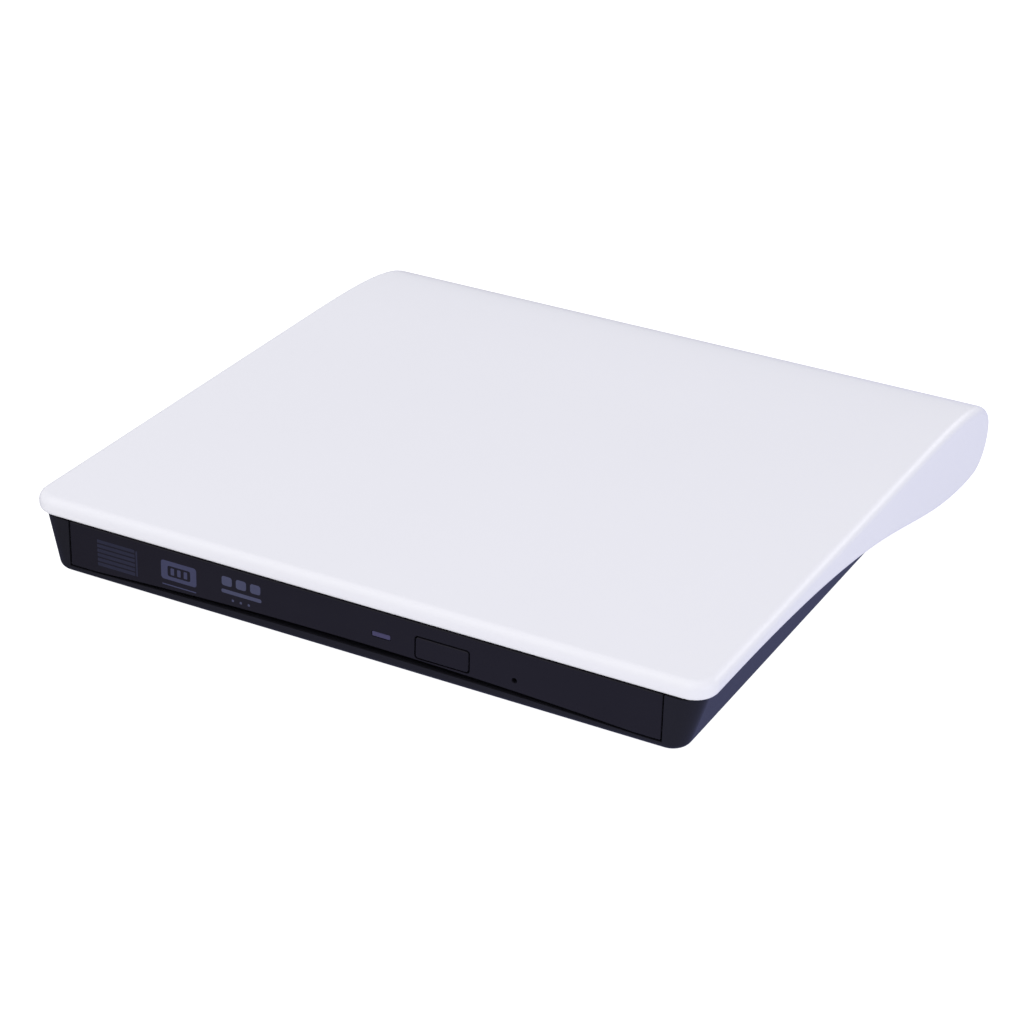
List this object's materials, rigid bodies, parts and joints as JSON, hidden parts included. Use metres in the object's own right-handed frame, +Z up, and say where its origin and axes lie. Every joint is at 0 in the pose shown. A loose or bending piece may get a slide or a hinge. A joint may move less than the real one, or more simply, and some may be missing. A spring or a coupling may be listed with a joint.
{
  "type": "external optical drive",
  "caption": "Slim external optical drive with a white wave-shaped cover, black base and sliding disc tray with eject button.",
  "frame": {"origin": "on the floor plane, under the middle of the whole object's box", "axes": "+X to the right seen from the front, +Y from the tray's front to the rear, +Z up"},
  "size_m": [0.146, 0.1478, 0.0194],
  "materials": {
    "white_cover": "semi-gloss moulded white with a slight lavender cast",
    "black_shell": "fine satin moulded black",
    "gloss_black": "glossy moulded black",
    "tray_plastic": "matte moulded black",
    "rubber": "matte rubber",
    "case_steel": "satin stamped sheet steel",
    "dark_steel": "dark coated steel",
    "rod_steel": "ground and polished rod",
    "screw_brass": "machined brass",
    "circuit_board": "green solder mask",
    "chip_black": "moulded epoxy",
    "connector_plastic": "moulded connector body",
    "natural_plastic": "natural acetal",
    "flex_film": "amber film over copper traces",
    "indicator_lens": "tinted light pipe",
    "optics": "coated lens",
    "sled_metal": "die-cast sled"
  },
  "bodies": {
    "housing": {"top_cover": "white_cover", "base_shell": "black_shell", "housing_screw_front_left": "dark_steel", "housing_screw_front_right": "dark_steel", "housing_screw_rear_left": "dark_steel", "housing_screw_rear_right": "dark_steel", "front_foot_left": "rubber", "front_foot_right": "rubber", "rear_foot_left": "rubber", "rear_foot_right": "rubber", "drive_lower_case": "case_steel", "drive_top_case": "case_steel", "guide_rail_left": "natural_plastic", "guide_rail_right": "natural_plastic", "main_board": "circuit_board", "controller_chip": "chip_black", "motor_driver_chip": "chip_black", "drive_connector": "connector_plastic", "flex_cable": "flex_film", "bridge_board": "circuit_board", "bridge_plug": "connector_plastic", "bridge_chip": "chip_black", "bridge_crystal": "case_steel", "usb_socket": "case_steel"},
    "rail_left": {"slide_rail_left": "case_steel"},
    "rail_right": {"slide_rail_right": "case_steel"},
    "tray_unit": {"tray": "tray_plastic", "front_bezel": "gloss_black", "led_light_pipe": "indicator_lens", "button_board": "circuit_board", "tact_switch": "dark_steel", "status_led": "indicator_lens", "kick_out_pin": "rod_steel", "latch_solenoid": "dark_steel", "latch_pivot": "rod_steel", "tray_bottom_plate": "case_steel", "traverse_chassis": "case_steel", "chassis_cover": "dark_steel", "spindle_motor": "dark_steel", "guide_rod_left": "rod_steel", "guide_rod_right": "rod_steel", "sled_motor": "case_steel", "damper_1": "rubber", "damper_2": "rubber", "damper_3": "rubber"},
    "button": {"eject_button": "gloss_black"},
    "latch": {"latch_lever": "natural_plastic"},
    "spindle": {"turntable": "tray_plastic"},
    "claw_1": {"clamp_claw_1": "natural_plastic"},
    "claw_2": {"clamp_claw_2": "natural_plastic"},
    "claw_3": {"clamp_claw_3": "natural_plastic"},
    "pickup": {"pickup_sled": "sled_metal", "rack_nut": "natural_plastic"},
    "lens": {"lens_holder": "chip_black", "objective_lens": "optics"},
    "screw": {"lead_screw": "screw_brass"}
  },
  "joints": [
    {"name": "tray_slide", "type": "slide", "parent": "housing", "child": "tray_unit", "axis": [0, -0.9998, -0.0192], "range_m": [0, 0.125]},
    {"name": "rail_left_slide", "type": "slide", "parent": "housing", "child": "rail_left", "axis": [0, -0.9998, -0.0192], "range_m": [0, 0.0625]},
    {"name": "rail_right_slide", "type": "slide", "parent": "housing", "child": "rail_right", "axis": [0, -0.9998, -0.0192], "range_m": [0, 0.0625]},
    {"name": "eject_button_press", "type": "slide", "parent": "tray_unit", "child": "button", "axis": [0, 0.9998, 0.0192], "range_m": [0, 0.0005], "stiffness_N_per_m": 800},
    {"name": "latch_turn", "type": "hinge", "parent": "tray_unit", "child": "latch", "pos_m": [0.056, -0.05226, 0.00761], "axis": [0, -0.0192, 0.9998], "range_deg": [0, 8]},
    {"name": "spindle_spin", "type": "hinge", "parent": "tray_unit", "child": "spindle", "pos_m": [0, -0.0073, 0.01008], "axis": [0, -0.0192, 0.9998], "continuous": true},
    {"name": "claw_1_press", "type": "slide", "parent": "spindle", "child": "claw_1", "axis": [-0.7071, -0.707, -0.0136], "range_m": [0, 0.0005], "stiffness_N_per_m": 800},
    {"name": "claw_2_press", "type": "slide", "parent": "spindle", "child": "claw_2", "axis": [0.9659, -0.2588, -0.005], "range_m": [0, 0.0005], "stiffness_N_per_m": 800},
    {"name": "claw_3_press", "type": "slide", "parent": "spindle", "child": "claw_3", "axis": [-0.2588, 0.9657, 0.0185], "range_m": [0, 0.0005], "stiffness_N_per_m": 800},
    {"name": "pickup_slide", "type": "slide", "parent": "tray_unit", "child": "pickup", "axis": [0.7071, -0.707, -0.0136], "range_m": [0, 0.0325]},
    {"name": "lead_screw_spin", "type": "hinge", "parent": "tray_unit", "child": "screw", "pos_m": [0.0123, 0.00505, 0.00791], "axis": [0.7071, -0.707, -0.0136], "range_deg": [0, 3901]},
    {"name": "lens_focus", "type": "slide", "parent": "pickup", "child": "lens", "axis": [0, -0.0192, 0.9998], "range_m": [-0.0004, 0.0004], "stiffness_N_per_m": 60}
  ],
  "couplings": [
    {"joint": "rail_left_slide", "follows": "tray_slide", "ratio": 0.5},
    {"joint": "rail_right_slide", "follows": "tray_slide", "ratio": 0.5},
    {"joint": "lead_screw_spin", "follows": "pickup_slide", "rad_per_m": 2094.4}
  ]
}
